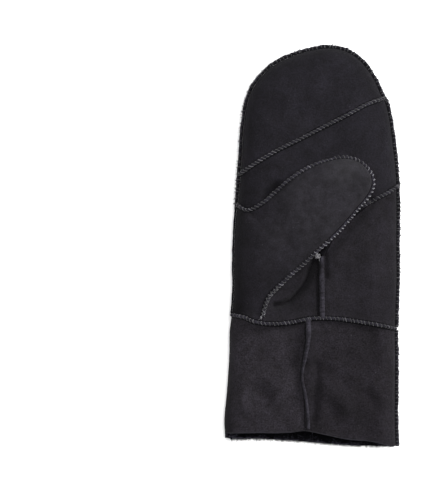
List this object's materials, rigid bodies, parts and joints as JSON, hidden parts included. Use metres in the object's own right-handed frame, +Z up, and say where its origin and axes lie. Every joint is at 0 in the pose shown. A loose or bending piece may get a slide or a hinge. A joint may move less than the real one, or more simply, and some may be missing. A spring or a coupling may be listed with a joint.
{
  "type": "leather mitten",
  "caption": "Sheepskin mitten for the left hand, suede outside and wool at the cuff's mouth, with raised overcast seams and a separate thumb, lying palm up on a table.",
  "frame": {"origin": "middle of the footprint, on the surface that the back of the hand lies on", "axes": "+Z up out of the palm, +Y towards the fingertips, the thumb grows from the -X edge"},
  "size_m": [0.1364, 0.3114, 0.0453],
  "materials": {
    "suede": "matt black suede with a faint mottling",
    "seam": "raw suede edges overcast with black thread",
    "wool": "black wool pile"
  },
  "bodies": {
    "root": {"palm_tip_panel": "suede", "palm_middle_panel": "suede", "palm_lower_panel": "suede", "thumb_front_panel": "suede", "thumb_back_panel": "suede", "gusset_panel": "suede", "hand_back_panel": "suede", "cuff_wrap_panel": "suede", "cuff_palm_panel": "suede", "wool_lining": "wool", "tip_seam": "seam", "middle_seam": "seam", "heel_seam": "seam", "thumb_seam": "seam", "wrist_seam": "seam", "cuff_seam": "seam", "cuff_side_seam": "seam", "side_seam": "seam"}
  },
  "joints": []
}
